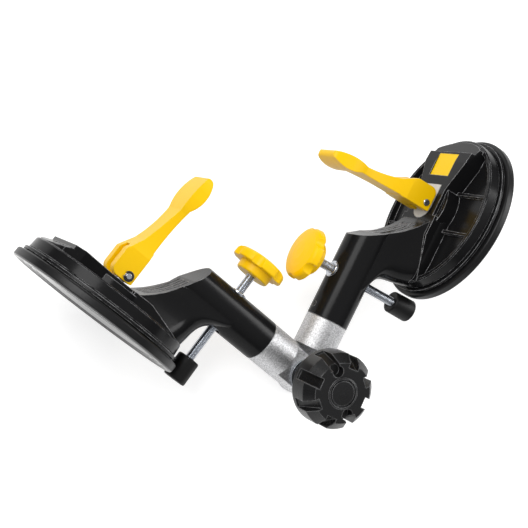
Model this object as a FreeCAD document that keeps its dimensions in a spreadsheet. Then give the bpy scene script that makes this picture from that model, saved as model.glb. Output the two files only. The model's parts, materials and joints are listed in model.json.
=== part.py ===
"""Adjustable corner clamp with two lever-operated suction heads.

Two like heads hold a tile or slab each. A head is a rubber suction pad under a moulded housing, a flip lever
that lifts the middle of the pad through a stem, and a levelling screw with a rubber foot. Each housing ends in a
sleeve on a turned hinge arm, and the two arms are half-lapped on one bolt that a large star knob clamps.

Head frame: origin at the middle of the pad on the held surface, +X towards the hinge, +Z away from the surface.
Hinge frame: origin where both arm axes cross the hinge axis, +Z along the hinge axis towards the star knob,
+Y along the line that halves the angle between the arms. Lengths are in millimetres, angles in degrees.
"""
import FreeCAD, Part
import math
import os
import Sketcher

from FreeCAD import Placement, Rotation, Vector

DIMENSIONS = {
    # suction pad and its plate
    "pad_radius": 75.0,
    "pad_lip_height": 7.4,
    "pad_neck": 1.4,
    "pad_lip_width": 6.0,
    "pad_face_lift": 1.2,
    "pad_sheet": 3.0,
    "pad_plate_radius": 22.0,
    "pad_plate_thick": 2.5,
    # housing dish
    "flange_radius": 71.5,
    "flange_thick": 2.4,
    "drum_radius": 69.0,
    "drum_height": 10.3,
    "dish_depth": 5.0,
    "dish_wall": 3.4,
    "drum_wall": 4.5,
    "boss_wall": 3.5,
    "boss_roof": 3.2,
    # spine, label seat and lever seat
    "spine_top": 32.3,
    "spine_half_width": 20.0,
    "spine_flare": 32.0,
    "skirt_half_width": 24.5,
    "label_length": 21.0,
    "label_width": 29.0,
    "label_thick": 0.6,
    "label_gap": 0.1,
    "label_near": 29.0,
    "wear_plate_thick": 1.0,
    "wear_plate_half_width": 12.0,
    # neck, sleeve and hinge arm
    "axis_height": 67.5,
    "reach": 176.0,
    "sleeve_radius": 18.0,
    "sleeve_end": 49.0,
    "spigot_radius": 13.5,
    "spigot_length": 28.0,
    "arm_gap": 0.4,
    "shoulder": 22.5,
    "tongue_flat": 10.9,
    "lap_half_gap": 0.6,
    "hinge_angle": 78.5,
    # lever and stem
    "pin_height": 38.8,
    "pin_radius": 3.0,
    "pin_half_length": 15.4,
    "lever_base_depth": 4.8,
    "lever_back": 14.5,
    "lever_front": 6.0,
    "lever_half_width": 13.5,
    "lever_slot_half": 5.0,
    "lever_length": 98.0,
    "paddle_half_width": 17.0,
    "cam_round": 6.0,
    "stem_radius": 4.5,
    "stem_head_half": 4.6,
    "running_gap": 0.05,
    # levelling screw
    "screw_reach": 89.4,
    "screw_radius": 4.0,
    "foot_radius": 9.8,
    "foot_height": 21.0,
    "foot_proud": 1.0,
    "screw_knob_radius": 23.0,
    "screw_knob_thick": 8.0,
    "screw_knob_rise": 41.8,
    "screw_knob_hub": 7.0,
    "screw_knob_hub_radius": 14.5,
    "insert_radius": 7.2,
    # hinge bolt and star knob
    "bolt_radius": 6.0,
    "bolt_head_radius": 10.5,
    "bolt_head_height": 7.5,
    "washer_radius": 15.0,
    "washer_thick": 2.0,
    "star_radius": 30.5,
    "star_face_radius": 24.0,
    "star_skirt_start": 46.0,
    "star_skirt_end": 65.0,
    "star_face": 74.0,
    "star_hub_radius": 13.0,
    "cap_radius": 12.7,
}

SCREW_KNOB_LOBES = 6
STAR_LOBES = 8
SADDLE_GROOVES = 4

document = FreeCAD.newDocument("corner_clamp")
sheet = document.addObject("Spreadsheet::Sheet", "Sizes")
for row, (alias, number) in enumerate(DIMENSIONS.items(), start=1):
    sheet.set("A%d" % row, alias)
    sheet.set("B%d" % row, "%g" % number)
    sheet.setAlias("B%d" % row, alias)
document.recompute()


class Size:
    """A length kept both as a number and as the sheet formula that gives it."""

    def __init__(self, number, formula):
        self.number = float(number)
        self.formula = formula

    @staticmethod
    def of(value):
        return value if isinstance(value, Size) else Size(value, repr(float(value)))

    def __add__(self, other):
        other = Size.of(other)
        return Size(self.number + other.number, "(%s + %s)" % (self.formula, other.formula))

    def __sub__(self, other):
        other = Size.of(other)
        return Size(self.number - other.number, "(%s - %s)" % (self.formula, other.formula))

    def __mul__(self, factor):
        return Size(self.number * factor, "(%s * %r)" % (self.formula, float(factor)))

    def __neg__(self):
        return Size(-self.number, "(0 - %s)" % self.formula)

    def __radd__(self, other):
        return Size.of(other) + self

    def __rsub__(self, other):
        return Size.of(other) - self

    __rmul__ = __mul__


def cell(alias):
    """The named cell of the sheet as a Size."""
    return Size(sheet.get(alias), "Sizes." + alias)


class Via:
    """A point that a round edge passes through on its way to the next corner."""

    def __init__(self, across, up):
        self.point = (Size.of(across), Size.of(up))


def new_body(label):
    body = document.addObject("PartDesign::Body", label)
    body.Label = label
    return body


def origin_plane(body, role):
    for feature in body.Origin.OriginFeatures:
        if feature.Role == role:
            return feature
    raise ValueError("no plane " + role)


def bind(owner, name, size):
    owner.setExpression(name, Size.of(size).formula)


def fix_point(sketch, geometry, position, point):
    """Hold one point of a sketch at two sheet formulas."""
    for kind, axis, size in (("DistanceX", -2, point[0]), ("DistanceY", -1, point[1])):
        if size.number == 0.0 and "Sizes" not in size.formula:
            sketch.addConstraint(Sketcher.Constraint("PointOnObject", geometry, position, axis))
            continue
        index = sketch.addConstraint(Sketcher.Constraint(kind, geometry, position, size.number))
        sketch.setExpression("Constraints[%d]" % index, size.formula)


def new_sketch(body, role, offset=0):
    sketch = body.newObject("Sketcher::SketchObject", body.Label + "_sketch")
    sketch.AttachmentSupport = [(origin_plane(body, role), "")]
    sketch.MapMode = "FlatFace"
    offset = Size.of(offset)
    sketch.AttachmentOffset = Placement(Vector(0, 0, offset.number), Rotation())
    if "Sizes" in offset.formula:
        bind(sketch, "AttachmentOffset.Base.z", offset)
    return sketch


def add_outline(sketch, items):
    """Closed outline of corners (across, up), with a Via between two corners where the edge is an arc."""
    corners = []
    bulges = {}
    for item in items:
        if isinstance(item, Via):
            bulges[len(corners) - 1] = item.point
        else:
            corners.append((Size.of(item[0]), Size.of(item[1])))
    first = sketch.GeometryCount
    ends = []
    spots = [Vector(across.number, up.number, 0) for across, up in corners]
    for index, start in enumerate(spots):
        stop = spots[(index + 1) % len(spots)]
        if index in bulges:
            across, up = bulges[index]
            arc = Part.Arc(start, Vector(across.number, up.number, 0), stop)
            forward = arc.toShape().Edges[0].Curve.Axis.z > 0
            circle = arc.toShape().Edges[0].Curve
            angles = [math.atan2(spot.y - circle.Center.y, spot.x - circle.Center.x) for spot in (start, stop)]
            if not forward:
                angles.reverse()
            round_edge = Part.Circle(circle.Center, Vector(0, 0, 1), circle.Radius)
            sketch.addGeometry(Part.ArcOfCircle(round_edge, angles[0], angles[1]), False)
            ends.append((1, 2) if forward else (2, 1))
        else:
            sketch.addGeometry(Part.LineSegment(start, stop), False)
            ends.append((1, 2))
    for index, corner in enumerate(corners):
        following = (index + 1) % len(corners)
        sketch.addConstraint(Sketcher.Constraint(
            "Coincident", first + index, ends[index][1], first + following, ends[following][0]))
        fix_point(sketch, first + index, ends[index][0], corner)
    for index, bulge in bulges.items():
        marker = sketch.addGeometry(Part.Point(Vector(bulge[0].number, bulge[1].number, 0)), True)
        fix_point(sketch, marker, 1, bulge)
        sketch.addConstraint(Sketcher.Constraint("PointOnObject", marker, 1, first + index))
    return sketch


def add_circle(sketch, radius, across=0, up=0):
    centre = (Size.of(across), Size.of(up))
    radius = Size.of(radius)
    index = sketch.addGeometry(
        Part.Circle(Vector(centre[0].number, centre[1].number, 0), Vector(0, 0, 1), radius.number), False)
    fix_point(sketch, index, 3, centre)
    size = sketch.addConstraint(Sketcher.Constraint("Radius", index, radius.number))
    sketch.setExpression("Constraints[%d]" % size, radius.formula)
    return sketch


def rectangle(low, high):
    return [(low[0], low[1]), (high[0], low[1]), (high[0], high[1]), (low[0], high[1])]


def stadium(near, far, radius):
    """Two half circles on the X axis joined by straight sides."""
    return [(near, radius), (far, radius), Via(far + radius, 0), (far, -radius), (near, -radius),
            Via(near - radius, 0)]


def revolve(body, items, cut=False, axis="V_Axis"):
    """Turn a half section in the XZ plane about the frame's Z axis, or its X axis."""
    sketch = add_outline(new_sketch(body, "XZ_Plane"), items)
    feature = body.newObject("PartDesign::Groove" if cut else "PartDesign::Revolution", body.Label + "_turn")
    feature.Profile = sketch
    feature.ReferenceAxis = (sketch, [axis])
    feature.Angle = 360.0
    return feature


def pad(body, sketch, length, both=False, reverse=False, cut=False):
    """Pad or pocket a sketch; 'both' spreads the length over both sides of it."""
    feature = body.newObject("PartDesign::Pocket" if cut else "PartDesign::Pad", body.Label + "_pad")
    feature.Profile = sketch
    bind(feature, "Length", length)
    feature.Midplane = both
    feature.Reversed = reverse
    return feature


def loft(body, sketches):
    feature = body.newObject("PartDesign::AdditiveLoft", body.Label + "_loft")
    feature.Profile = sketches[0]
    feature.Sections = sketches[1:]
    feature.Ruled = False
    return feature


def around(body, feature, count):
    """Repeat a feature evenly about the frame's Z axis."""
    pattern = body.newObject("PartDesign::PolarPattern", body.Label + "_pattern")
    pattern.Originals = [feature]
    for origin_feature in body.Origin.OriginFeatures:
        if origin_feature.Role == "Z_Axis":
            pattern.Axis = (origin_feature, [""])
    pattern.Angle = 360.0
    pattern.Occurrences = count
    body.Tip = pattern
    return pattern


# --- heights that several pieces share ---------------------------------------------------------------------

flange_low = cell("pad_lip_height") + cell("pad_neck")
flange_high = flange_low + cell("flange_thick")
drum_top = flange_high + cell("drum_height")
dish_floor = drum_top - cell("dish_depth")
sheet_low = cell("pad_face_lift")
sheet_high = sheet_low + cell("pad_sheet")
plate_low = sheet_high + 0.2
plate_high = plate_low + cell("pad_plate_thick")
boss_inside = cell("spine_top") - cell("boss_roof")
boss_inner_radius = cell("pad_plate_radius") + 1.5
boss_outer_radius = boss_inner_radius + cell("boss_wall")
axis_height = cell("axis_height")
reach = cell("reach")
screw_place = reach - cell("screw_reach")
sleeve_far = reach - cell("sleeve_end")
pin_height = cell("pin_height")
foot_low = -cell("foot_proud")
foot_high = foot_low + cell("foot_height")
hub_low = axis_height + cell("screw_knob_rise") - cell("screw_knob_hub")
lobe_low = axis_height + cell("screw_knob_rise")
lobe_high = lobe_low + cell("screw_knob_thick")
tongue_flat = cell("tongue_flat")


# --- pieces of a head --------------------------------------------------------------------------------------

def suction_pad(label):
    """Rubber sheet with a thick sealing lip and a short neck that grips the housing's flange."""
    body = new_body(label)
    radius = cell("pad_radius")
    lip_inner = radius - cell("pad_lip_width")
    neck_inner = lip_inner - 7.0
    revolve(body, [
        (0, sheet_low), (lip_inner, sheet_low), (lip_inner + 3.0, 0), (radius - 1.0, 0), (radius, 1.0),
        (radius, cell("pad_lip_height") - 1.0), (radius - 1.0, cell("pad_lip_height")),
        (lip_inner, cell("pad_lip_height")), (lip_inner, flange_low), (neck_inner, flange_low),
        (neck_inner, sheet_high), (0, sheet_high)])
    return body


def pad_plate(label):
    """Steel disc bonded to the middle of the pad."""
    body = new_body(label)
    radius = cell("pad_plate_radius")
    revolve(body, [(0, plate_low), (radius, plate_low), (radius, plate_high - 0.5), (radius - 0.5, plate_high),
                   (0, plate_high)])
    return body


def stem(label):
    """Turned stem with a foot on the pad plate and a flat-sided head that carries the lever pin."""
    body = new_body(label)
    radius = cell("stem_radius")
    head = cell("stem_head_half")
    revolve(body, [(0, plate_high), (9, plate_high), (9, plate_high + 2.5), (radius, plate_high + 4.0),
                   (radius, pin_height - head), (0, pin_height - head)])
    side = add_outline(new_sketch(body, "XZ_Plane"), [
        (-head, pin_height - head), (head, pin_height - head), (head, pin_height),
        Via(0, pin_height + head), (-head, pin_height)])
    pad(body, side, head * 2.0, both=True)
    hole = add_circle(new_sketch(body, "XZ_Plane"), cell("pin_radius") + cell("running_gap"), 0, pin_height)
    pad(body, hole, head * 4.0, both=True, cut=True)
    return body


def lever(label):
    """Moulded flip lever in the pin's frame: two cheeks with a round cam heel, a slim arm and a finger paddle."""
    body = new_body(label)
    back = cell("lever_back")
    front = cell("lever_front")
    depth = cell("lever_base_depth")
    heel = cell("cam_round")
    tip = cell("lever_length")
    heel_diagonal = heel * (1.0 - math.sqrt(0.5))
    paddle = cell("paddle_half_width")
    half = cell("lever_half_width")
    side = add_outline(new_sketch(body, "XZ_Plane"), [
        (heel - back, -depth), Via(heel_diagonal - back, heel_diagonal - depth), (-back, heel - depth),
        (-back, tip * 0.165), (-back * 0.5, tip * 0.3), Via(-back * 0.2, tip * 0.46), (0.4, tip * 0.665), Via(-0.6, tip * 0.82), (2.5, tip - 0.5),
        Via(5.4, tip + 0.4), (front + 2.0, tip - 1.0), Via(front + 5.0, tip * 0.88), (front + 1.2, tip * 0.695),
        Via(front + 0.1, tip * 0.47), (front - 0.5, tip * 0.262), (front, tip * 0.25), (front, 1.5 - depth),
        Via(front - 0.44, 0.44 - depth), (front - 1.5, -depth)])
    pad(body, side, paddle * 2.0, both=True)
    slot = cell("lever_slot_half")
    web_low = cell("stem_head_half") + 1.6
    fork = add_outline(new_sketch(body, "XZ_Plane"), [
        (-back * 1.5, -depth * 2.0), (front * 2.0, -depth * 2.0), (front * 2.0, web_low), (0, web_low),
        (0, web_low + 8.0), Via(-back * 0.3, web_low + 12.0), (-back * 1.5, web_low + 13.0)])
    pad(body, fork, slot * 2.0, both=True, cut=True)
    for sign in (1.0, -1.0):
        flank = add_outline(new_sketch(body, "YZ_Plane"), [
            (half * sign, -depth * 2.0), (half * sign, tip * 0.2),
            Via((half - 2.4) * sign, tip * 0.45), ((half + 0.3) * sign, tip * 0.66),
            Via(paddle * sign, tip * 0.8), ((paddle - 0.9) * sign, tip * 0.95),
            Via((paddle - 2.2) * sign, tip * 0.985), ((paddle - 5.0) * sign, tip + 1.0),
            (paddle * 1.5 * sign, tip + 1.0), (paddle * 1.5 * sign, -depth * 2.0)])
        pad(body, flank, back * 4.0, both=True, cut=True)
    hole = add_circle(new_sketch(body, "XZ_Plane"), cell("pin_radius"))
    pad(body, hole, half * 4.0, both=True, cut=True)
    return body


def lever_pin(label):
    """Steel pin through the lever's cheeks and the stem head, grooved at one end for its clip."""
    body = new_body(label)
    radius = cell("pin_radius")
    half = cell("pin_half_length")
    groove = cell("lever_half_width") + 0.15
    plain_end = cell("lever_half_width") + 0.8
    sketch = add_outline(new_sketch(body, "YZ_Plane"), [
        (-half, 0), (-half, radius - 0.9), (0.3 - half, radius - 0.6), (-groove - 0.9, radius - 0.6),
        (-groove - 0.9, radius - 1.0), (-groove, radius - 1.0), (-groove, radius), (plain_end - 0.5, radius),
        (plain_end, radius - 0.5), (plain_end, 0)])
    feature = body.newObject("PartDesign::Revolution", label + "_turn")
    feature.Profile = sketch
    feature.ReferenceAxis = (sketch, ["H_Axis"])
    feature.Angle = 360.0
    return body


def e_clip(label):
    """Spring clip snapped on the pin's groove, open on one side."""
    body = new_body(label)
    groove = cell("lever_half_width") + 0.15
    inner = cell("pin_radius") - 1.0
    sketch = new_sketch(body, "XZ_Plane", groove)
    add_circle(sketch, inner + 2.2)
    add_circle(sketch, inner)
    pad(body, sketch, Size.of(0.8))
    gap = add_outline(new_sketch(body, "XZ_Plane", groove), rectangle((-6, -1.4), (0, 1.4)))
    pad(body, gap, Size.of(6.0), both=True, cut=True)
    return body


def wear_plate(label):
    """Thin hard plate that the lever's heel rolls on."""
    body = new_body(label)
    low = cell("spine_top") - 0.5
    half = cell("wear_plate_half_width")
    sketch = new_sketch(body, "XY_Plane", low)
    add_outline(sketch, [(-20.0, -half), (0, -half), Via(half, 0), (0, half), (-20.0, half)])
    add_circle(sketch, cell("stem_radius") + 0.4)
    pad(body, sketch, cell("wear_plate_thick"))
    return body


def label_plate(label):
    """Bare yellow plate let into the housing in front of the lever."""
    body = new_body(label)
    low = cell("spine_top") - 1.7
    near = -cell("label_near")
    far = near - cell("label_length")
    half = cell("label_width") * 0.5
    sketch = add_outline(new_sketch(body, "XY_Plane", low), rectangle((far, -half), (near, half)))
    pad(body, sketch, cell("label_thick"))
    return body


def housing(label):
    """Moulded housing: dished drum on a flange, raised spine, central boss, cross ribs, and a neck that
    sweeps up behind a scooped saddle into the sleeve."""
    body = new_body(label)
    drum = cell("drum_radius")
    flange = cell("flange_radius")
    inner = drum - cell("drum_wall")
    top = cell("spine_top")
    spine = cell("spine_half_width")
    flare = cell("spine_flare")
    sleeve = cell("sleeve_radius")
    buried = dish_floor - 1.0
    hollow = inner - 5.0
    floor_under = dish_floor - cell("dish_wall")
    revolve(body, [
        (0, boss_inside), (boss_inner_radius, boss_inside), (boss_inner_radius, flange_low),
        (boss_outer_radius, flange_low), (boss_outer_radius, floor_under), (hollow, floor_under),
        (hollow, flange_low), (flange, flange_low),
        (flange, flange_high), (drum - 1.3, flange_high), (drum - 1.3, flange_high + 1.2),
        (drum, flange_high + 1.2), (drum - 0.6, drum_top - 1.0), (drum - 1.6, drum_top), (inner, drum_top),
        (inner - 1.5, dish_floor), (boss_outer_radius, dish_floor), (boss_outer_radius, top - 3.0),
        (0, top - 3.0)])
    for place in (-0.29, 0.25):
        rib = add_outline(new_sketch(body, "XY_Plane", buried), rectangle(
            (inner * place - 1.3, -inner), (inner * place + 1.3, inner)))
        pad(body, rib, drum_top - 1.6 - buried)
    plan = add_outline(new_sketch(body, "XY_Plane", buried), [
        (6.5 - inner, flare), (-inner * 0.66, flare - 1.0), (-inner * 0.25, spine), (inner * 0.6, spine),
        (inner * 0.6, -spine), (-inner * 0.25, -spine), (-inner * 0.66, 1.0 - flare), (6.5 - inner, -flare),
        Via(-inner - 1.5, 0)])
    pad(body, plan, top - buried)
    skirt = add_outline(new_sketch(body, "XZ_Plane"), [
        (8.0, buried), (inner - 1.0, buried), (inner - 1.0, drum_top), (26.0, top), (8.0, top)])
    pad(body, skirt, cell("skirt_half_width") * 2.0, both=True)
    nose_half = spine * 2.0
    label_end = cell("label_near") + cell("label_length")
    nose = add_outline(new_sketch(body, "XZ_Plane"), [
        (-drum - 3.0, drum_top), (1.6 - drum, drum_top), (-label_end - 2.095, drum_top + 6.4),
        (-label_end - 2.095, top - 1.1), (7.91 - label_end, top), (7.91 - label_end, top + 4.0),
        (-drum - 3.0, top + 4.0)])
    pad(body, nose, nose_half * 2.0, both=True, cut=True)
    document.recompute()
    loft(body, [
        add_outline(new_sketch(body, "XY_Plane", level), stadium(near, far, radius))
        for level, near, far, radius in (
            (buried, 12.0, inner - 19.5, Size.of(25.0)),
            (drum_top - 0.8, 12.0, inner - 19.2, Size.of(25.5)),
            (axis_height * 0.5, 20.0, inner - 12.3, sleeve + 3.0),
            (axis_height * 0.67, 30.0, inner - 5.0, sleeve + 0.2),
            (axis_height * 0.79, 40.0, inner + 8.0, sleeve - 0.6),
            (axis_height * 0.95, 46.0, inner + 27.0, sleeve - 1.0))])
    tube = add_circle(new_sketch(body, "YZ_Plane", 40.0), sleeve, 0, axis_height)
    pad(body, tube, sleeve_far - 40.0)
    saddle = add_outline(new_sketch(body, "XZ_Plane"), [
        (13.5, top), Via(31.0, axis_height - 19.6), (44.0, axis_height), Via(50.0, axis_height + 9.5),
        (54.0, axis_height + sleeve), (54.0, axis_height + sleeve + 6.0), (-25.0, axis_height + sleeve + 6.0),
        (-25.0, top)])
    pad(body, saddle, sleeve * 4.0, both=True, cut=True)
    for index in range(SADDLE_GROOVES):
        across = (index - (SADDLE_GROOVES - 1) / 2.0) * 6.4
        groove = add_outline(new_sketch(body, "XZ_Plane", -across), [
            (15.0, top + 2.2), Via(32.6, axis_height - 21.2), (46.5, axis_height + 1.5)])
        pad(body, groove, Size.of(2.6), both=True, cut=True)
    seat = add_outline(new_sketch(body, "XY_Plane", top - 0.5), [
        (-20.2, -cell("wear_plate_half_width") - 0.2), (0, -cell("wear_plate_half_width") - 0.2),
        Via(cell("wear_plate_half_width") + 0.2, 0), (0, cell("wear_plate_half_width") + 0.2),
        (-20.2, cell("wear_plate_half_width") + 0.2)])
    pad(body, seat, Size.of(3.0), cut=True, reverse=True)
    gap = cell("label_gap")
    near = gap - cell("label_near")
    far = -cell("label_near") - cell("label_length") - gap
    half = cell("label_width") * 0.5 + gap
    recess = add_outline(new_sketch(body, "XY_Plane", top - 1.7), rectangle((far, -half), (near, half)))
    pad(body, recess, Size.of(4.0), cut=True, reverse=True)
    lift_room = add_circle(new_sketch(body, "XY_Plane", flange_low - 1.0), boss_inner_radius)
    pad(body, lift_room, boss_inside - flange_low + 1.0, cut=True, reverse=True)
    bore = add_circle(new_sketch(body, "XY_Plane"), cell("stem_radius") + cell("running_gap"))
    pad(body, bore, top * 4.0, both=True, cut=True)
    socket = add_circle(new_sketch(body, "YZ_Plane", sleeve_far), cell("spigot_radius"), 0, axis_height)
    pad(body, socket, cell("spigot_length") * 2.0, both=True, cut=True)
    thread = add_circle(new_sketch(body, "XY_Plane", axis_height), cell("insert_radius"), screw_place, 0)
    pad(body, thread, sleeve * 4.0, both=True, cut=True)
    grub = add_circle(new_sketch(body, "XY_Plane", axis_height + sleeve), 2.5, sleeve_far - 8.0, 0)
    pad(body, grub, sleeve * 2.0 - cell("spigot_radius") * 2.0 + 1.0, both=True, cut=True)
    return body


def screw_insert(label):
    """Threaded steel bush through the sleeve, standing a little proud of it."""
    body = new_body(label)
    sleeve = cell("sleeve_radius")
    low = axis_height - sleeve + 1.6
    high = axis_height + sleeve + 0.4
    inner = cell("screw_radius") + cell("running_gap")
    outer = cell("insert_radius")
    revolve(body, [(inner, low), (outer, low), (outer, high - 0.5), (outer - 0.5, high), (inner + 0.5, high),
                   (inner, high - 0.5)])
    return body


def set_screw(label):
    """Headless screw that locks the sleeve on the arm's spigot, in its own frame along the hole."""
    body = new_body(label)
    length = cell("sleeve_radius") - cell("spigot_radius") - 0.5
    revolve(body, [(0, 0), (2.4, 0), (2.4, length - 0.4), (2.0, length), (1.2, length), (1.2, length - 2.0),
                   (0, length - 2.0)])
    return body


def foot(label):
    """Rubber foot with a socket for the screw's end."""
    body = new_body(label)
    radius = cell("foot_radius")
    socket = cell("screw_radius") + cell("running_gap")
    revolve(body, [
        (0, foot_low), (radius - 1.5, foot_low), Via(radius - 0.44, foot_low + 0.44), (radius, foot_low + 1.5),
        (radius - 0.3, foot_high - 1.5), Via(radius - 0.74, foot_high - 0.44), (radius - 1.8, foot_high),
        (socket + 2.0, foot_high), (socket, foot_high - 1.0), (socket, foot_high - 10.0), (0, foot_high - 10.0)])
    return body


def screw(label):
    """Levelling screw from the foot's socket up into the knob."""
    body = new_body(label)
    radius = cell("screw_radius")
    low = foot_high - 9.95
    high = lobe_high - 1.0
    revolve(body, [(0, low), (radius - 0.6, low), (radius, low + 0.6), (radius, high), (0, high)])
    return body


def screw_knob(label):
    """Lobed thumb knob with a domed top and a smaller scalloped hub underneath."""
    body = new_body(label)
    radius = cell("screw_knob_radius")
    hub = cell("screw_knob_hub_radius")
    bore = cell("screw_radius")
    dome = 3.4
    revolve(body, [
        (bore, hub_low), (hub - 1.0, hub_low), (hub, hub_low + 1.0), (hub + 0.6, lobe_low),
        (radius - 1.5, lobe_low), Via(radius - 0.44, lobe_low + 0.44), (radius, lobe_low + 1.5),
        (radius - 0.3, lobe_high - 2.2), (radius - 1.2, lobe_high - 0.6), (radius - 3.2, lobe_high + dome * 0.2),
        (radius * 0.62, lobe_high + dome * 0.58), (radius * 0.34, lobe_high + dome * 0.88),
        (0, lobe_high + dome), (0, lobe_high - 1.0), (bore, lobe_high - 1.0)])
    document.recompute()
    notch = add_circle(new_sketch(body, "XY_Plane", lobe_low - 1.0), 6.4, radius + 3.4, 0)
    cut = pad(body, notch, cell("screw_knob_thick") * 6.0, cut=True, both=True)
    document.recompute()
    around(body, cut, SCREW_KNOB_LOBES)
    return body


def hinge_arm(label):
    """Turned aluminium arm in the hinge's frame along the arm: spigot, round body and half-lap tongue."""
    body = new_body(label)
    radius = cell("sleeve_radius") - 0.1
    spigot = cell("spigot_radius")
    shoulder = -cell("shoulder")
    butt = cell("arm_gap") - cell("sleeve_end")
    spigot_end = -cell("sleeve_end") - cell("spigot_length") + 1.0
    revolve(body, [
        (spigot_end, 0), (spigot_end, spigot - 1.0), (spigot_end + 1.0, spigot), (butt, spigot), (butt, radius),
        (radius, radius), (radius, 0)], axis="H_Axis")
    lap = add_outline(new_sketch(body, "XY_Plane"), rectangle(
        (shoulder, -cell("lap_half_gap")), (radius * 2.0, radius * 2.0)))
    pad(body, lap, radius * 4.0, both=True, cut=True)
    flat = add_outline(new_sketch(body, "XY_Plane"), rectangle(
        (shoulder, -radius * 2.0), (radius * 2.0, -tongue_flat)))
    pad(body, flat, radius * 4.0, both=True, cut=True)
    diagonal = radius * math.sqrt(0.5)
    nose = add_outline(new_sketch(body, "XZ_Plane"), [
        (0, radius), Via(diagonal, diagonal), (radius, 0), Via(diagonal, -diagonal), (0, -radius),
        (0, -radius * 2.0), (radius * 2.0, -radius * 2.0), (radius * 2.0, radius * 2.0), (0, radius * 2.0)])
    pad(body, nose, radius * 4.0, both=True, cut=True)
    eye = add_circle(new_sketch(body, "XZ_Plane"), cell("bolt_radius") + cell("running_gap"))
    pad(body, eye, radius * 4.0, both=True, cut=True)
    return body


# --- pieces on the hinge axis ------------------------------------------------------------------------------

washer_top = tongue_flat + 0.05 + cell("washer_thick")


def washer(label, low, thick):
    body = new_body(label)
    inner = cell("bolt_radius") + cell("running_gap")
    outer = cell("washer_radius")
    high = low + thick
    revolve(body, [(inner, low), (outer - 0.2, low), (outer, low + 0.2), (outer, high - 0.2), (outer - 0.2, high),
                   (inner, high)])
    return body


def hinge_bolt(label):
    """Hexagon bolt from behind the back arm into the star knob."""
    body = new_body(label)
    radius = cell("bolt_radius")
    seat = -tongue_flat - cell("washer_thick")
    low = seat - cell("bolt_head_height")
    head = cell("bolt_head_radius")
    corners = [(head * math.cos(math.pi * step / 3.0), head * math.sin(math.pi * step / 3.0)) for step in range(6)]
    hexagon = add_outline(new_sketch(body, "XY_Plane", low), corners)
    pad(body, hexagon, cell("bolt_head_height"))
    shank = add_circle(new_sketch(body, "XY_Plane", seat - 0.5), radius)
    pad(body, shank, cell("star_face") - 12.0 - seat)
    return body


def star_knob(label):
    """Clamp knob: plain hub, round skirt, bevelled crown with sloping finger pockets, and two blind holes."""
    body = new_body(label)
    bore = cell("bolt_radius") + cell("running_gap")
    hub = cell("star_hub_radius")
    skirt = cell("star_radius")
    start = cell("star_skirt_start")
    stop = cell("star_skirt_end")
    face = cell("star_face")
    crown = cell("star_face_radius")
    cap = cell("cap_radius")
    low = washer_top + 0.05
    revolve(body, [
        (bore, low), (hub, low), (hub, low + 3.0), (hub - 1.5, low + 4.5), (hub - 1.5, start - 9.0),
        Via(hub + 0.4, start - 2.5), (hub + 6.0, start + 1.2), (skirt - 3.5, start + 1.2), (skirt - 3.0, start),
        (skirt - 0.6, start), (skirt, start + 0.6), (skirt, stop), (crown, face), (cap, face), (cap, face - 3.0),
        (bore, face - 3.0)])
    document.recompute()
    wedge = add_outline(new_sketch(body, "XZ_Plane"), [
        (crown - 4.0, face + 1.0), (crown - 3.2, face - 4.0), (skirt - 2.0, start + 5.0),
        (skirt + 3.0, start + 4.0), (skirt + 3.0, face + 1.0)])
    cut = pad(body, wedge, Size.of(8.6), both=True, cut=True)
    document.recompute()
    around(body, cut, STAR_LOBES)
    hole_ring = cap * 1.42
    hole_lead = math.radians(5.0)
    for sign in (1.0, -1.0):
        hole = add_circle(new_sketch(body, "XY_Plane", face + 1.0), 4.6, hole_ring * math.sin(hole_lead) * sign,
                          hole_ring * math.cos(hole_lead) * sign)
        pad(body, hole, Size.of(9.0), cut=True)
    return body


def knob_cap(label):
    """Snap-in cap with a ring groove, in the middle of the star knob."""
    body = new_body(label)
    radius = cell("cap_radius")
    face = cell("star_face")
    revolve(body, [
        (0, face - 3.0), (radius, face - 3.0), (radius, face + 0.5), (radius - 1.4, face + 0.9),
        (radius - 1.8, face - 1.0), (radius - 2.6, face - 1.0), (radius - 3.0, face + 0.5), (0, face + 0.8)])
    return body


# --- places --------------------------------------------------------------------------------------------------

def frame(x_axis, y_axis, z_axis, origin=Vector(0, 0, 0)):
    matrix = FreeCAD.Matrix(
        x_axis.x, y_axis.x, z_axis.x, origin.x,
        x_axis.y, y_axis.y, z_axis.y, origin.y,
        x_axis.z, y_axis.z, z_axis.z, origin.z,
        0, 0, 0, 1)
    return Placement(matrix)


half_angle = math.radians(sheet.get("hinge_angle") / 2.0)
across, along = math.sin(half_angle), math.cos(half_angle)
ARMS = {
    "left": frame(Vector(across, -along, 0), Vector(0, 0, -1), Vector(along, across, 0)),
    "right": frame(Vector(-across, -along, 0), Vector(0, 0, 1), Vector(-along, across, 0)),
}
pad_offset = Placement(Vector(-reach.number, 0, -axis_height.number), Rotation())


def lowest(centre, axis, radius, floor_normal):
    """Height of the lowest point of a circle over the plane through the origin with that normal."""
    lean = axis.dot(floor_normal)
    return centre.dot(floor_normal) - radius * math.sqrt(max(0.0, 1.0 - lean * lean))


def support_gap(tilt):
    """How much lower the pads' lips reach than the bolt head, when the tool lies back at that tilt."""
    normal = Vector(0, math.sin(tilt), math.cos(tilt))
    head_back = sheet.get("tongue_flat") + sheet.get("washer_thick") + sheet.get("bolt_head_height")
    bolt = lowest(Vector(0, 0, -head_back), Vector(0, 0, 1), sheet.get("bolt_head_radius"), normal)
    head = ARMS["left"].multiply(pad_offset)
    face_normal = head.Rotation.multVec(Vector(0, 0, 1))
    rims = [
        lowest(head.multVec(Vector(0, 0, height)), face_normal, sheet.get("pad_radius"), normal)
        for height in (1.0, sheet.get("pad_lip_height") - 1.0)]
    return min(rims) - bolt


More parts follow.
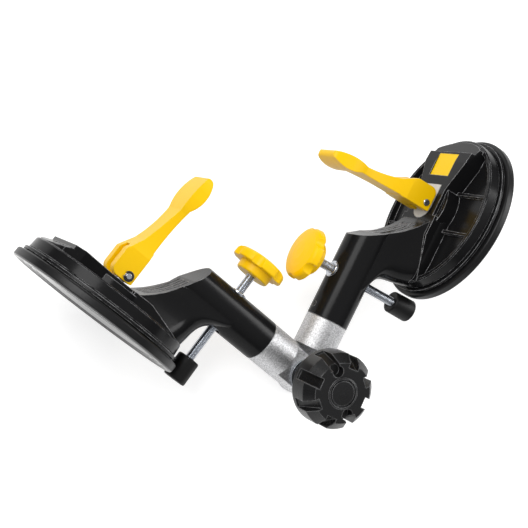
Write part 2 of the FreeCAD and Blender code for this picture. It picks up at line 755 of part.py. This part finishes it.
low_tilt, high_tilt = 0.0, math.radians(60.0)
for step in range(50):
    tilt = (low_tilt + high_tilt) / 2.0
    if support_gap(tilt) < 0.0:
        low_tilt = tilt
    else:
        high_tilt = tilt
lie_back = Placement(Vector(0, 0, 0), Rotation(Vector(1, 0, 0), math.degrees(tilt)))

placed = []


def put(body, place):
    body.Placement = lie_back.multiply(place)
    placed.append(body)


for side, arm in ARMS.items():
    head = arm.multiply(pad_offset)
    pin = head.multiply(Placement(Vector(0, 0, pin_height.number), Rotation()))
    screw_line = head.multiply(Placement(Vector(screw_place.number, 0, 0), Rotation()))
    grub_place = head.multiply(Placement(Vector(
        sleeve_far.number - 8.0, 0, axis_height.number + sheet.get("spigot_radius")), Rotation()))
    for build, place in (
            (housing, head), (suction_pad, head), (pad_plate, head), (stem, head), (lever, pin),
            (lever_pin, pin), (e_clip, pin), (wear_plate, head), (label_plate, head),
            (screw_insert, screw_line), (set_screw, grub_place), (foot, screw_line), (screw, screw_line),
            (screw_knob, screw_line), (hinge_arm, arm)):
        put(build(side + "_" + build.__name__), place)

hinge = Placement()
put(hinge_bolt("hinge_bolt"), hinge)
put(washer("back_washer", -tongue_flat - cell("washer_thick"), cell("washer_thick")), hinge)
put(washer("friction_washer", 0.05 - cell("lap_half_gap"), cell("lap_half_gap") * 2.0 - 0.1), hinge)
put(washer("knob_washer", tongue_flat + 0.05, cell("washer_thick")), hinge)
crown_turn = Placement(Vector(0, 0, 0), Rotation(Vector(0, 0, 1), 8.0))
put(star_knob("star_knob"), crown_turn)
put(knob_cap("knob_cap"), crown_turn)

# --- put the origin under the middle of the part, then check and write every piece --------------------------

document.recompute()
extent = FreeCAD.BoundBox()
for body in placed:
    extent.add(body.Shape.optimalBoundingBox(False, False))
shift = Placement(Vector(-extent.Center.x, -extent.Center.y, -extent.ZMin), Rotation())
for body in placed:
    body.Placement = shift.multiply(body.Placement)
document.recompute()

for item in document.Objects:
    if "Invalid" in item.State or "Error" in item.State:
        raise RuntimeError("%s failed" % item.Label)
os.makedirs("parts", exist_ok=True)
for body in placed:
    shape = body.Shape
    if shape.isNull() or not shape.isValid() or len(shape.Solids) != 1:
        raise RuntimeError("%s is not one valid solid" % body.Label)
for body in placed:
    body.Shape.exportStep("parts/%s.step" % body.Label)
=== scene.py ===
"""Looks of the folding corner clamp: two lever suction heads on half-lapped aluminium arms under a star knob.

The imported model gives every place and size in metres. A head's frame has its origin at the middle of the pad on
the held surface, X towards the hinge and Z away from the surface.
"""
import json

import bmesh
import bpy
import numpy as np
from mathutils import Matrix, Vector


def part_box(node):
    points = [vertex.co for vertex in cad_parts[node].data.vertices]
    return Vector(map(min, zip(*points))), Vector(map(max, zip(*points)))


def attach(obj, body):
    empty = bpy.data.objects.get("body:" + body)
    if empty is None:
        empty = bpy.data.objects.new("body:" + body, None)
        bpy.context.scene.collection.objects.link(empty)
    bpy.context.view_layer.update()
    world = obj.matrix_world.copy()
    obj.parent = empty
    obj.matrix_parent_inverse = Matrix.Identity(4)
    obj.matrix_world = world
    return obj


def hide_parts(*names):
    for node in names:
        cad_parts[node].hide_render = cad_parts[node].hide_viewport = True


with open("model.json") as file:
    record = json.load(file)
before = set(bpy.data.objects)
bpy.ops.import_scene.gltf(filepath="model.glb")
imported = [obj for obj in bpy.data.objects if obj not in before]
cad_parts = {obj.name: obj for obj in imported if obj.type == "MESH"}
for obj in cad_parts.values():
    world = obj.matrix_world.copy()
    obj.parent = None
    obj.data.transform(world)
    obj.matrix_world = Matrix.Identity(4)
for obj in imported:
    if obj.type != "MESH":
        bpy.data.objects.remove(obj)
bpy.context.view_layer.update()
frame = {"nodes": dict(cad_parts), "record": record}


# Housings. Each head's shell is one thick injection moulding in glass-filled black plastic. The tool was polished,
# so it is glossy with a faint ripple. Its edges are painted pale grey: mostly a painted highlight, partly rubbing.

def socket_group(name, inputs, outputs):
    """A shader node group with float inputs {name: default} and outputs {name: socket type}."""
    tree = bpy.data.node_groups.new(name, "ShaderNodeTree")
    for label, default in inputs.items():
        tree.interface.new_socket(label, in_out="INPUT", socket_type="NodeSocketFloat").default_value = default
    for label, kind in outputs.items():
        tree.interface.new_socket(label, in_out="OUTPUT", socket_type=kind)
    return tree, tree.nodes.new("NodeGroupInput"), tree.nodes.new("NodeGroupOutput")


def add_math(tree, operation, *values):
    """A Math node whose inputs are sockets or numbers; gives its output socket."""
    node = tree.nodes.new("ShaderNodeMath")
    node.operation = operation
    for place, value in zip(node.inputs, values):
        if isinstance(value, bpy.types.NodeSocket):
            tree.links.new(value, place)
        else:
            place.default_value = value
    return node.outputs[0]


def add_ramp(tree, factor, low, high):
    """Maps factor from low..high to 0..1 and clamps it."""
    node = tree.nodes.new("ShaderNodeMapRange")
    tree.links.new(factor, node.inputs["Value"])
    node.inputs["From Min"].default_value = low
    node.inputs["From Max"].default_value = high
    return node.outputs["Result"]


def add_noise(tree, scale, detail=3.0, roughness=0.5, stretch=None):
    """Noise on Object coordinates at that scale per metre, drawn out where stretch gives a factor per axis."""
    where = tree.nodes.new("ShaderNodeTexCoord")
    node = tree.nodes.new("ShaderNodeTexNoise")
    node.inputs["Detail"].default_value = detail
    node.inputs["Roughness"].default_value = roughness
    if isinstance(scale, bpy.types.NodeSocket):
        tree.links.new(scale, node.inputs["Scale"])
    else:
        node.inputs["Scale"].default_value = scale
    if stretch is None:
        tree.links.new(where.outputs["Object"], node.inputs["Vector"])
    else:
        mapping = tree.nodes.new("ShaderNodeMapping")
        mapping.inputs["Scale"].default_value = stretch
        tree.links.new(where.outputs["Object"], mapping.inputs["Vector"])
        tree.links.new(mapping.outputs["Vector"], node.inputs["Vector"])
    return node.outputs["Fac"]


def build_edge_group():
    """Rounded normal and an edge mask for a painted highlight with some rubbing: where the normal, averaged over
    Radius, leaves the true one, there is an edge.
    """
    tree, entry, leave = socket_group(
        "rounded_edge", {"Radius": 0.0006, "Patch Scale": 160.0},
        {"Normal": "NodeSocketVector", "Highlight And Rub": "NodeSocketFloat"})
    soft = tree.nodes.new("ShaderNodeBevel")
    soft.samples = 6
    tree.links.new(entry.outputs["Radius"], soft.inputs["Radius"])
    true_side = tree.nodes.new("ShaderNodeNewGeometry")
    alike = tree.nodes.new("ShaderNodeVectorMath")
    alike.operation = "DOT_PRODUCT"
    tree.links.new(soft.outputs["Normal"], alike.inputs[0])
    tree.links.new(true_side.outputs["Normal"], alike.inputs[1])
    bend = add_math(tree, "SUBTRACT", 1.0, alike.outputs["Value"])
    patches = add_ramp(tree, add_noise(tree, entry.outputs["Patch Scale"], 4.0), 0.30, 0.62)
    # The mask paints edges paler: mostly a painted highlight along them, broken into patches, partly standing for
    # rubbing.
    highlight_and_rub = add_math(tree, "MULTIPLY", add_ramp(tree, bend, 0.03, 0.14), patches)
    tree.links.new(soft.outputs["Normal"], leave.inputs["Normal"])
    tree.links.new(highlight_and_rub, leave.inputs["Highlight And Rub"])
    return tree


def build_skin_group():
    """Moulded skin: slow ripple and fine grain summed into a height, and a roughness that drifts over the part."""
    tree, entry, leave = socket_group(
        "moulded_skin",
        {"Grain Scale": 1800.0, "Grain": 0.3, "Ripple": 0.3, "Roughness": 0.3, "Drift": 0.1},
        {"Height": "NodeSocketFloat", "Roughness": "NodeSocketFloat", "Dust": "NodeSocketFloat"})
    grain = add_math(tree, "MULTIPLY", add_noise(tree, entry.outputs["Grain Scale"], 2.0), entry.outputs["Grain"])
    ripple = add_math(tree, "MULTIPLY", add_noise(tree, 55.0, 1.0), entry.outputs["Ripple"])
    tree.links.new(add_math(tree, "ADD", grain, ripple), leave.inputs["Height"])
    drift = add_math(tree, "SUBTRACT", add_noise(tree, 24.0, 5.0, 0.62), 0.5)
    shift = add_math(tree, "MULTIPLY", drift, entry.outputs["Drift"])
    tree.links.new(add_math(tree, "ADD", entry.outputs["Roughness"], shift), leave.inputs["Roughness"])
    tree.links.new(add_ramp(tree, add_noise(tree, 420.0, 6.0, 0.7), 0.58, 0.74), leave.inputs["Dust"])
    return tree


edge_group = build_edge_group()
skin_group = build_skin_group()


def add_group(tree, group, **values):
    """A node of that shader group, with its inputs set; an underscore in a name stands for a space."""
    node = tree.nodes.new("ShaderNodeGroup")
    node.node_tree = group
    for label, value in values.items():
        node.inputs[label.replace("_", " ")].default_value = value
    return node


def add_mix(tree, factor, first, second):
    """Blend of two colours, each a socket or a colour."""
    node = tree.nodes.new("ShaderNodeMix")
    node.data_type = "RGBA"
    tree.links.new(factor, node.inputs["Factor"])
    for place, value in ((node.inputs[6], first), (node.inputs[7], second)):
        if isinstance(value, bpy.types.NodeSocket):
            tree.links.new(value, place)
        else:
            place.default_value = (*value, 1.0)
    return node.outputs[2]


def moulded(name, colour, highlight_rub_colour, dusty, roughness, edge=0.0006, grain=0.25, ripple=0.3, drift=0.12,
             depth=0.00004, grain_scale=1800.0, dust=0.25, specular=0.5):
    """Moulded plastic or rubber: body colour, edges painted paler as a highlight with some rubbing, thin dust,
    drifting gloss, grain and ripple.
    """
    material = bpy.data.materials.new(name)
    material.use_nodes = True
    tree = material.node_tree
    shader = tree.nodes["Principled BSDF"]
    shader.inputs["Specular IOR Level"].default_value = specular
    skin = add_group(tree, skin_group, Grain=grain, Grain_Scale=grain_scale, Ripple=ripple, Roughness=roughness,
                     Drift=drift)
    rounded = add_group(tree, edge_group, Radius=edge)
    dusted = add_mix(tree, add_math(tree, "MULTIPLY", skin.outputs["Dust"], dust), colour, dusty)
    # Edges are mixed towards the pale colour: a painted highlight, partly rubbing.
    tree.links.new(add_mix(tree, rounded.outputs["Highlight And Rub"], dusted, highlight_rub_colour), shader.inputs["Base Color"])
    tree.links.new(skin.outputs["Roughness"], shader.inputs["Roughness"])
    bump = tree.nodes.new("ShaderNodeBump")
    bump.inputs["Distance"].default_value = depth
    bump.inputs["Strength"].default_value = 1.0
    tree.links.new(skin.outputs["Height"], bump.inputs["Height"])
    tree.links.new(rounded.outputs["Normal"], bump.inputs["Normal"])
    tree.links.new(bump.outputs["Normal"], shader.inputs["Normal"])
    return material


def finish(material, *nodes):
    """Gives CAD pieces their finish."""
    for node in nodes:
        piece = frame["nodes"][node]
        piece.data.materials.clear()
        piece.data.materials.append(material)


SIDES = ("left", "right")


def both(name):
    """The left and the right node of that name."""
    return [side + "_" + name for side in SIDES]


# The pale grey 0.46 on the edges is a painted highlight that draws bright lines along ribs, spine and rims.
black_moulding = moulded("black_moulding", (0.008, 0.008, 0.0085), (0.46, 0.46, 0.47), (0.022, 0.021, 0.020),
                         0.20, edge=0.0010, grain=0.12, ripple=0.35, drift=0.14, dust=0.3, specular=0.14)
finish(black_moulding, *both("housing"))


# Suction pads. Each is one compression moulding in soft black rubber: a sheet with a thick outer lip, two low
# sealing rings on its polished face, and a neck that is stretched over the housing's flange.

record = frame["record"]


def joint(name):
    """That joint's row in the record."""
    return next(entry for entry in record["behaviour"]["joints"] if entry["name"] == name)


def mount(name):
    """That mount's row in the record."""
    return next(entry for entry in record["mounts"] if entry["name"] == name)


def head_frame(side):
    """4x4 matrix of a head: Z against the pad mount's axis, Y along the lever's pin, and the origin where the line
    through the pin, along Z, meets the plane of the held surface."""
    face = mount(side + "_pad_face")
    up = -np.array(face["axis"])
    pin_line = -np.array(joint(side + "_lever_flip")["axis"])
    pin = np.array(joint(side + "_lever_flip")["pos_m"])
    place = np.eye(4)
    place[:3, 0] = np.cross(pin_line, up)
    place[:3, 1] = pin_line
    place[:3, 2] = up
    place[:3, 3] = pin - up * np.dot(pin - np.array(face["pos_m"]), up)
    return place


def put(points, place):
    """Points of any grid shape, carried by a 4x4 matrix."""
    return points @ place[:3, :3].T + place[:3, 3]


def grid_mesh(name, grid, material, crease=35.0):
    """Closed mesh over a grid of points (rows, columns, 3): columns wrap round, and each end row closes on itself
    where its points meet. Edges sharper than crease degrees stay sharp."""
    rows, columns = grid.shape[:2]
    index = np.arange(rows * columns).reshape(rows, columns)
    follow = np.roll(index, -1, axis=1)
    quads = np.stack([index[:-1], follow[:-1], follow[1:], index[1:]], axis=-1).reshape(-1, 4)
    mesh = bpy.data.meshes.new(name)
    mesh.from_pydata(grid.reshape(-1, 3), [], quads.tolist())
    work = bmesh.new()
    work.from_mesh(mesh)
    bmesh.ops.remove_doubles(work, verts=work.verts, dist=1e-7)
    bmesh.ops.recalc_face_normals(work, faces=work.faces)
    work.to_mesh(mesh)
    work.free()
    mesh.shade_smooth()
    mesh.set_sharp_from_angle(angle=np.radians(crease))
    mesh.materials.append(material)
    piece = bpy.data.objects.new(name, mesh)
    bpy.context.scene.collection.objects.link(piece)
    return piece


def eased(corners, ease, steps=5):
    """Outline whose inner corners are rounded: each corner P becomes the curve (1-t)^2 A + 2t(1-t) P + t^2 B between
    points A and B on its two edges, at most ease away from P. The two end points stay."""
    corners = np.array(corners, dtype=float)
    here = corners[1:-1]
    back = corners[:-2] - here
    ahead = corners[2:] - here
    back_length = np.linalg.norm(back, axis=1, keepdims=True)
    ahead_length = np.linalg.norm(ahead, axis=1, keepdims=True)
    start = here + back / back_length * np.minimum(ease, back_length * 0.45)
    stop = here + ahead / ahead_length * np.minimum(ease, ahead_length * 0.45)
    t = np.linspace(0.0, 1.0, steps)[None, :, None]
    curves = start[:, None] * (1 - t) ** 2 + here[:, None] * 2 * t * (1 - t) + stop[:, None] * t ** 2
    return np.vstack([corners[:1], curves.reshape(-1, 2), corners[-1:]])


def turned(outline, around=144):
    """Surface of revolution: outline point (r, z) at angle a goes to (r cos a, r sin a, z)."""
    angle = np.linspace(0.0, 2 * np.pi, around, endpoint=False)
    radius, height = outline[:, 0][:, None], outline[:, 1][:, None]
    return np.stack([radius * np.cos(angle), radius * np.sin(angle), height + 0 * angle], axis=-1)


PAD_RADIUS = 0.075
LIP_HEIGHT = 0.0074
LIP_INNER = 0.069
LIP_FOOT = 0.0718
LIP_LOW_CHAMFER = 0.0012
LIP_TOP_CHAMFER = 0.0010
SHEET_LOW = 0.0012
SHEET_HIGH = 0.0042
NECK_TOP = 0.0088
NECK_INNER = 0.062
RING_RISE = 0.0006
RING_SLOPE = 0.001
ring_points = [(radius, height) for near, far in ((0.0545, 0.0585), (0.0625, 0.0662)) for radius, height in (
    (near, SHEET_LOW), (near + RING_SLOPE, SHEET_LOW - RING_RISE), (far - RING_SLOPE, SHEET_LOW - RING_RISE),
    (far, SHEET_LOW))]
pad_outline = eased([
    (0.0, SHEET_LOW), *ring_points, (LIP_INNER, SHEET_LOW), (LIP_FOOT, 0.0), (PAD_RADIUS - LIP_LOW_CHAMFER, 0.0),
    (PAD_RADIUS, LIP_LOW_CHAMFER), (PAD_RADIUS, LIP_HEIGHT - LIP_TOP_CHAMFER),
    (PAD_RADIUS - LIP_TOP_CHAMFER, LIP_HEIGHT), (LIP_INNER + 0.0008, LIP_HEIGHT), (LIP_INNER, LIP_HEIGHT - 0.0004),
    (LIP_INNER, NECK_TOP), (NECK_INNER, NECK_TOP), (NECK_INNER, SHEET_HIGH), (0.0, SHEET_HIGH)], 0.0005)
pad_rubber = moulded("pad_rubber", (0.010, 0.010, 0.0105), (0.05, 0.05, 0.051), (0.05, 0.049, 0.046), 0.34,
                     edge=0.0004, grain=0.15, ripple=0.4, drift=0.2, dust=0.4, specular=0.25)
pad_face = moulded("pad_face", (0.018, 0.018, 0.0185), (0.05, 0.05, 0.05), (0.07, 0.069, 0.066), 0.07,
                   edge=0.0002, grain=0.02, ripple=0.05, drift=0.06, dust=0.5, specular=1.0)
FACE_MARGIN = 0.0001
FACE_TILT = -0.6
for side in SIDES:
    place = head_frame(side)
    pad = grid_mesh(side + "_suction_pad_rubber", put(turned(pad_outline, 192), place), pad_rubber, crease=70.0)
    pad.data.materials.append(pad_face)
    up, origin = place[:3, 2], place[:3, 3]
    for face in pad.data.polygons:
        low = np.dot(np.array(face.center) - origin, up) < SHEET_LOW + FACE_MARGIN
        face.material_index = int(low and np.dot(face.normal, up) < FACE_TILT)
    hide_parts(side + "_suction_pad")
    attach(pad, side + "_head")


# Lift gear. A zinc-plated plate bonded to the pad, a turned stem, and a hardened pin held by a spring clip.

def metal(name, colour, dull, roughness, edge=0.0004, grain=0.25, drift=0.2, depth=0.00003, grain_scale=2500.0,
          ripple=0.1):
    """Bare or plated metal: two close tones, grain in its normal and a drifting roughness."""
    material = bpy.data.materials.new(name)
    material.use_nodes = True
    tree = material.node_tree
    shader = tree.nodes["Principled BSDF"]
    shader.inputs["Metallic"].default_value = 1.0
    skin = add_group(tree, skin_group, Grain=grain, Grain_Scale=grain_scale, Ripple=ripple, Roughness=roughness,
                     Drift=drift)
    rounded = add_group(tree, edge_group, Radius=edge)
    tone = add_mix(tree, skin.outputs["Dust"], colour, dull)
    # Edges found by the mask are painted near-white: a painted highlight, partly rubbing.
    tree.links.new(add_mix(tree, rounded.outputs["Highlight And Rub"], tone, (0.93, 0.93, 0.94)), shader.inputs["Base Color"])
    tree.links.new(skin.outputs["Roughness"], shader.inputs["Roughness"])
    bump = tree.nodes.new("ShaderNodeBump")
    bump.inputs["Distance"].default_value = depth
    tree.links.new(skin.outputs["Height"], bump.inputs["Height"])
    tree.links.new(rounded.outputs["Normal"], bump.inputs["Normal"])
    tree.links.new(bump.outputs["Normal"], shader.inputs["Normal"])
    return material


zinc_steel = metal("zinc_steel", (0.60, 0.63, 0.68), (0.40, 0.42, 0.46), 0.24)
finish(zinc_steel, *both("pad_plate"), *both("stem"), *both("lever_pin"), *both("screw_insert"))
spring_steel = metal("spring_steel", (0.07, 0.07, 0.075), (0.04, 0.04, 0.045), 0.38)
finish(spring_steel, *both("e_clip"), *both("set_screw"))


# Flip levers. Each is moulded in bright yellow plastic with a satin skin, and pivots on the pin between its cheeks.

yellow_moulding = moulded("yellow_moulding", (0.96, 0.575, 0.0), (1.0, 0.70, 0.03), (0.80, 0.46, 0.002), 0.34,
                          edge=0.0012, grain=0.12, ripple=0.30, drift=0.08, dust=0.12, specular=0.2)
finish(yellow_moulding, *both("lever"))


# Wear plates and label plates. The wear plate is a pale hard plastic disc under the lever's heel, scuffed by it. The
# label plate is a bare yellow film on a thin backing, let into the housing.

wear_plastic = moulded("wear_plastic", (0.62, 0.61, 0.58), (0.78, 0.77, 0.75), (0.35, 0.33, 0.30), 0.45,
                       edge=0.0003, dust=0.6)
finish(wear_plastic, *both("wear_plate"))
label_film = moulded("label_film", (0.93, 0.60, 0.001), (0.95, 0.7, 0.1), (0.75, 0.45, 0.01), 0.36, edge=0.0002,
                     grain=0.1, ripple=0.15, dust=0.2, specular=0.2)
finish(label_film, *both("label_plate"))


# Levelling screws. M8 zinc-plated studding with a coarse thread, a rubber foot pressed on below and a lobed thumb
# knob moulded on above.

SCREW_RADIUS = 0.00398
THREAD_PITCH = 0.00125
THREAD_DEPTH = 0.00078
THREAD_STEPS = 10
FLANK_SLOPE = 2.6
CREST_SHARE = 0.15
END_CHAMFER = 0.0008


def threaded_rod(length, around=40):
    """Threaded rod along Z: at height z and angle a the radius is R - depth * tooth(z / pitch + a / 2 pi), where tooth
    rises and falls in straight flanks with a short flat crest. Both ends taper to a chamfer and close on the axis."""
    rows = int(length / THREAD_PITCH * THREAD_STEPS)
    height = np.linspace(0.0, length, rows)[:, None]
    angle = np.linspace(0.0, 2 * np.pi, around, endpoint=False)[None, :]
    phase = (height / THREAD_PITCH + angle / (2 * np.pi)) % 1.0
    tooth = np.clip(np.abs(phase - 0.5) * FLANK_SLOPE - CREST_SHARE, 0.0, 1.0)
    from_end = np.minimum(height, length - height)
    radius = np.minimum(SCREW_RADIUS - THREAD_DEPTH * tooth, SCREW_RADIUS - END_CHAMFER + from_end)
    body = np.stack([radius * np.cos(angle), radius * np.sin(angle), height + 0 * angle], axis=-1)
    low = np.zeros((1, around, 3))
    high = low + [0.0, 0.0, length]
    return np.concatenate([low, body, high])


foot_rubber = moulded("foot_rubber", (0.006, 0.006, 0.0062), (0.035, 0.035, 0.035), (0.03, 0.029, 0.028), 0.45,
                      grain=0.4, dust=0.3, specular=0.25)
finish(foot_rubber, *both("foot"))
finish(yellow_moulding, *both("screw_knob"))
for side in SIDES:
    line = joint(side + "_screw_turn")
    up = -np.array(line["axis"])
    corners = np.array([list(corner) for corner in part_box(side + "_screw")])
    reach = np.dot(np.abs(corners[1] - corners[0]), np.abs(up))
    side_way = np.array(joint(side + "_lever_flip")["axis"])
    width = 2 * SCREW_RADIUS * (np.abs(up) @ np.sqrt(1 - up ** 2))
    length = reach - width
    middle = (corners[0] + corners[1]) / 2
    place = np.eye(4)
    place[:3, 0] = np.cross(side_way, up)
    place[:3, 1] = side_way
    place[:3, 2] = up
    place[:3, 3] = middle - up * length / 2
    rod = grid_mesh(side + "_threaded_rod", put(threaded_rod(length), place), zinc_steel, crease=80.0)
    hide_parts(side + "_screw")
    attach(rod, side + "_screw")


# Hinge arms. Gravity-cast aluminium, turned to size, with the half-lap faces milled flat. The cast grain is given to
# the whole arm.

def build_cast_group():
    """Cast grain: pits at two sizes summed into a height, and a speckle of dull and bright crystals."""
    tree, entry, leave = socket_group(
        "cast_grain", {"Scale": 900.0, "Depth": 1.0},
        {"Height": "NodeSocketFloat", "Speckle": "NodeSocketFloat"})
    coarse = add_noise(tree, entry.outputs["Scale"], 3.0, 0.7)
    fine = add_noise(tree, add_math(tree, "MULTIPLY", entry.outputs["Scale"], 3.1), 2.0, 0.6)
    summed = add_math(tree, "ADD", coarse, add_math(tree, "MULTIPLY", fine, 0.5))
    tree.links.new(add_math(tree, "MULTIPLY", summed, entry.outputs["Depth"]), leave.inputs["Height"])
    tree.links.new(add_ramp(tree, coarse, 0.36, 0.66), leave.inputs["Speckle"])
    return tree


cast_group = build_cast_group()
cast_aluminium = bpy.data.materials.new("cast_aluminium")
cast_aluminium.use_nodes = True
tree = cast_aluminium.node_tree
shader = tree.nodes["Principled BSDF"]
shader.inputs["Metallic"].default_value = 1.0
grain = add_group(tree, cast_group)
drift = add_group(tree, skin_group, Roughness=0.44, Drift=0.2)
rounded = add_group(tree, edge_group, Radius=0.0008)
tone = add_mix(tree, grain.outputs["Speckle"], (0.46, 0.46, 0.47), (0.92, 0.92, 0.93))
# Edges found by the mask are painted pale: a painted highlight, partly rubbing.
tree.links.new(add_mix(tree, rounded.outputs["Highlight And Rub"], tone, (0.92, 0.92, 0.92)), shader.inputs["Base Color"])
tree.links.new(drift.outputs["Roughness"], shader.inputs["Roughness"])
bump = tree.nodes.new("ShaderNodeBump")
bump.inputs["Distance"].default_value = 0.00022
tree.links.new(grain.outputs["Height"], bump.inputs["Height"])
tree.links.new(rounded.outputs["Normal"], bump.inputs["Normal"])
tree.links.new(bump.outputs["Normal"], shader.inputs["Normal"])
finish(cast_aluminium, *both("hinge_arm"))


# Clamp. An M12 hexagon bolt and plated washers go through the half-lap, with a fibre washer between the tongues. The
# star knob is moulded in spark-grained black plastic with a snap-in cap.

finish(zinc_steel, "hinge_bolt", "back_washer", "knob_washer")
friction_fibre = moulded("friction_fibre", (0.05, 0.035, 0.025), (0.1, 0.08, 0.06), (0.08, 0.07, 0.06), 0.7)
finish(friction_fibre, "friction_washer")
# Its edges are painted a paler grey 0.22: a painted highlight, partly rubbing.
knob_moulding = moulded("knob_moulding", (0.008, 0.008, 0.0085), (0.22, 0.22, 0.225), (0.03, 0.029, 0.028), 0.28,
                        edge=0.0012, grain=0.5, drift=0.15, specular=0.38)
finish(knob_moulding, "star_knob", "knob_cap")


# Studio. White paper on the floor, a white sky that reflections see dimmer towards the horizon, and three soft lamps.

world = bpy.data.worlds.new("studio_sky")
bpy.context.scene.world = world
world.use_nodes = True
sky = world.node_tree.nodes["Background"]
sky.inputs["Color"].default_value = (1.0, 1.0, 1.0, 1.0)
AMBIENT = 0.68
DIM_TOP = 0.20
DARK_SIDES = 0.42
SIDES_BELOW = 0.15
TOP_ABOVE = 0.7
tree = world.node_tree
direction = tree.nodes.new("ShaderNodeTexCoord")
split = tree.nodes.new("ShaderNodeSeparateXYZ")
tree.links.new(direction.outputs["Generated"], split.inputs["Vector"])
sight = tree.nodes.new("ShaderNodeLightPath")
sideways = add_math(tree, "SUBTRACT", 1.0, add_ramp(tree, split.outputs["Z"], SIDES_BELOW, TOP_ABOVE))
dimming = add_math(tree, "ADD", add_math(tree, "MULTIPLY", sideways, DARK_SIDES), DIM_TOP)
loss = add_math(tree, "MULTIPLY", sight.outputs["Is Glossy Ray"], dimming)
lit = add_math(tree, "SUBTRACT", AMBIENT, loss)
tree.links.new(add_math(tree, "MAXIMUM", lit, sight.outputs["Is Camera Ray"]), sky.inputs["Strength"])

FLOOR_HALF = 6.0
floor_mesh = bpy.data.meshes.new("floor")
floor_mesh.from_pydata([(-FLOOR_HALF, -FLOOR_HALF, 0), (FLOOR_HALF, -FLOOR_HALF, 0), (FLOOR_HALF, FLOOR_HALF, 0),
                        (-FLOOR_HALF, FLOOR_HALF, 0)], [], [(0, 1, 2, 3)])
floor = bpy.data.objects.new("floor", floor_mesh)
bpy.context.scene.collection.objects.link(floor)
paper = bpy.data.materials.new("studio_paper")
paper.use_nodes = True
paper_shader = paper.node_tree.nodes["Principled BSDF"]
paper_shader.inputs["Base Color"].default_value = (0.60, 0.60, 0.60, 1.0)
paper_shader.inputs["Roughness"].default_value = 0.9
paper_shader.inputs["Emission Color"].default_value = (1.0, 1.0, 1.0, 1.0)
SEEN_GLOW = 0.65
MIRRORED_GLOW = 0.34
tree = paper.node_tree
sight = tree.nodes.new("ShaderNodeLightPath")
seen_glow = add_math(tree, "MULTIPLY", sight.outputs["Is Camera Ray"], SEEN_GLOW)
mirrored_glow = add_math(tree, "MULTIPLY", sight.outputs["Is Glossy Ray"], MIRRORED_GLOW)
tree.links.new(add_math(tree, "MAXIMUM", seen_glow, mirrored_glow), paper_shader.inputs["Emission Strength"])
floor_mesh.materials.append(paper)


LAMP_AIM = Vector((0, 0, 0.05))


def soft_light(name, place, size, power):
    """Rectangular lamp aimed at the middle of the part."""
    lamp = bpy.data.lights.new(name, "AREA")
    lamp.shape = "RECTANGLE"
    lamp.size, lamp.size_y = size
    lamp.energy = power
    stand = bpy.data.objects.new(name, lamp)
    stand.location = place
    stand.rotation_mode = "QUATERNION"
    stand.rotation_quaternion = (LAMP_AIM - Vector(place)).to_track_quat("-Z", "Y")
    bpy.context.scene.collection.objects.link(stand)


soft_light("key_softbox", (-0.7, 0.5, 1.5), (0.9, 0.9), 14.0)
soft_light("fill_softbox", (1.3, -0.4, 0.9), (0.9, 0.4), 8.0)
soft_light("back_softbox", (0.2, 1.5, 0.8), (1.2, 0.3), 2.5)


# Camera. A long lens well above the part, tilted so that the two heads stand level with each other.

LENS = 78.85
ROLL = -35.07
CAMERA_PLACE = Vector((-0.3690, -0.2323, 0.8983))
CAMERA_AIM = Vector((-0.0111, 0.0384, 0.0600))
camera_data = bpy.data.cameras.new("camera")
camera_data.sensor_width = 36.0
camera_data.lens = LENS
camera = bpy.data.objects.new("camera", camera_data)
camera.location = CAMERA_PLACE
look = CAMERA_AIM - CAMERA_PLACE
camera.rotation_mode = "QUATERNION"
roll = Matrix.Rotation(np.radians(ROLL), 4, look.normalized())
camera.rotation_quaternion = (roll @ look.to_track_quat("-Z", "Y").to_matrix().to_4x4()).to_quaternion()
bpy.context.scene.collection.objects.link(camera)
bpy.context.scene.camera = camera
bpy.context.scene.view_settings.view_transform = "Standard"
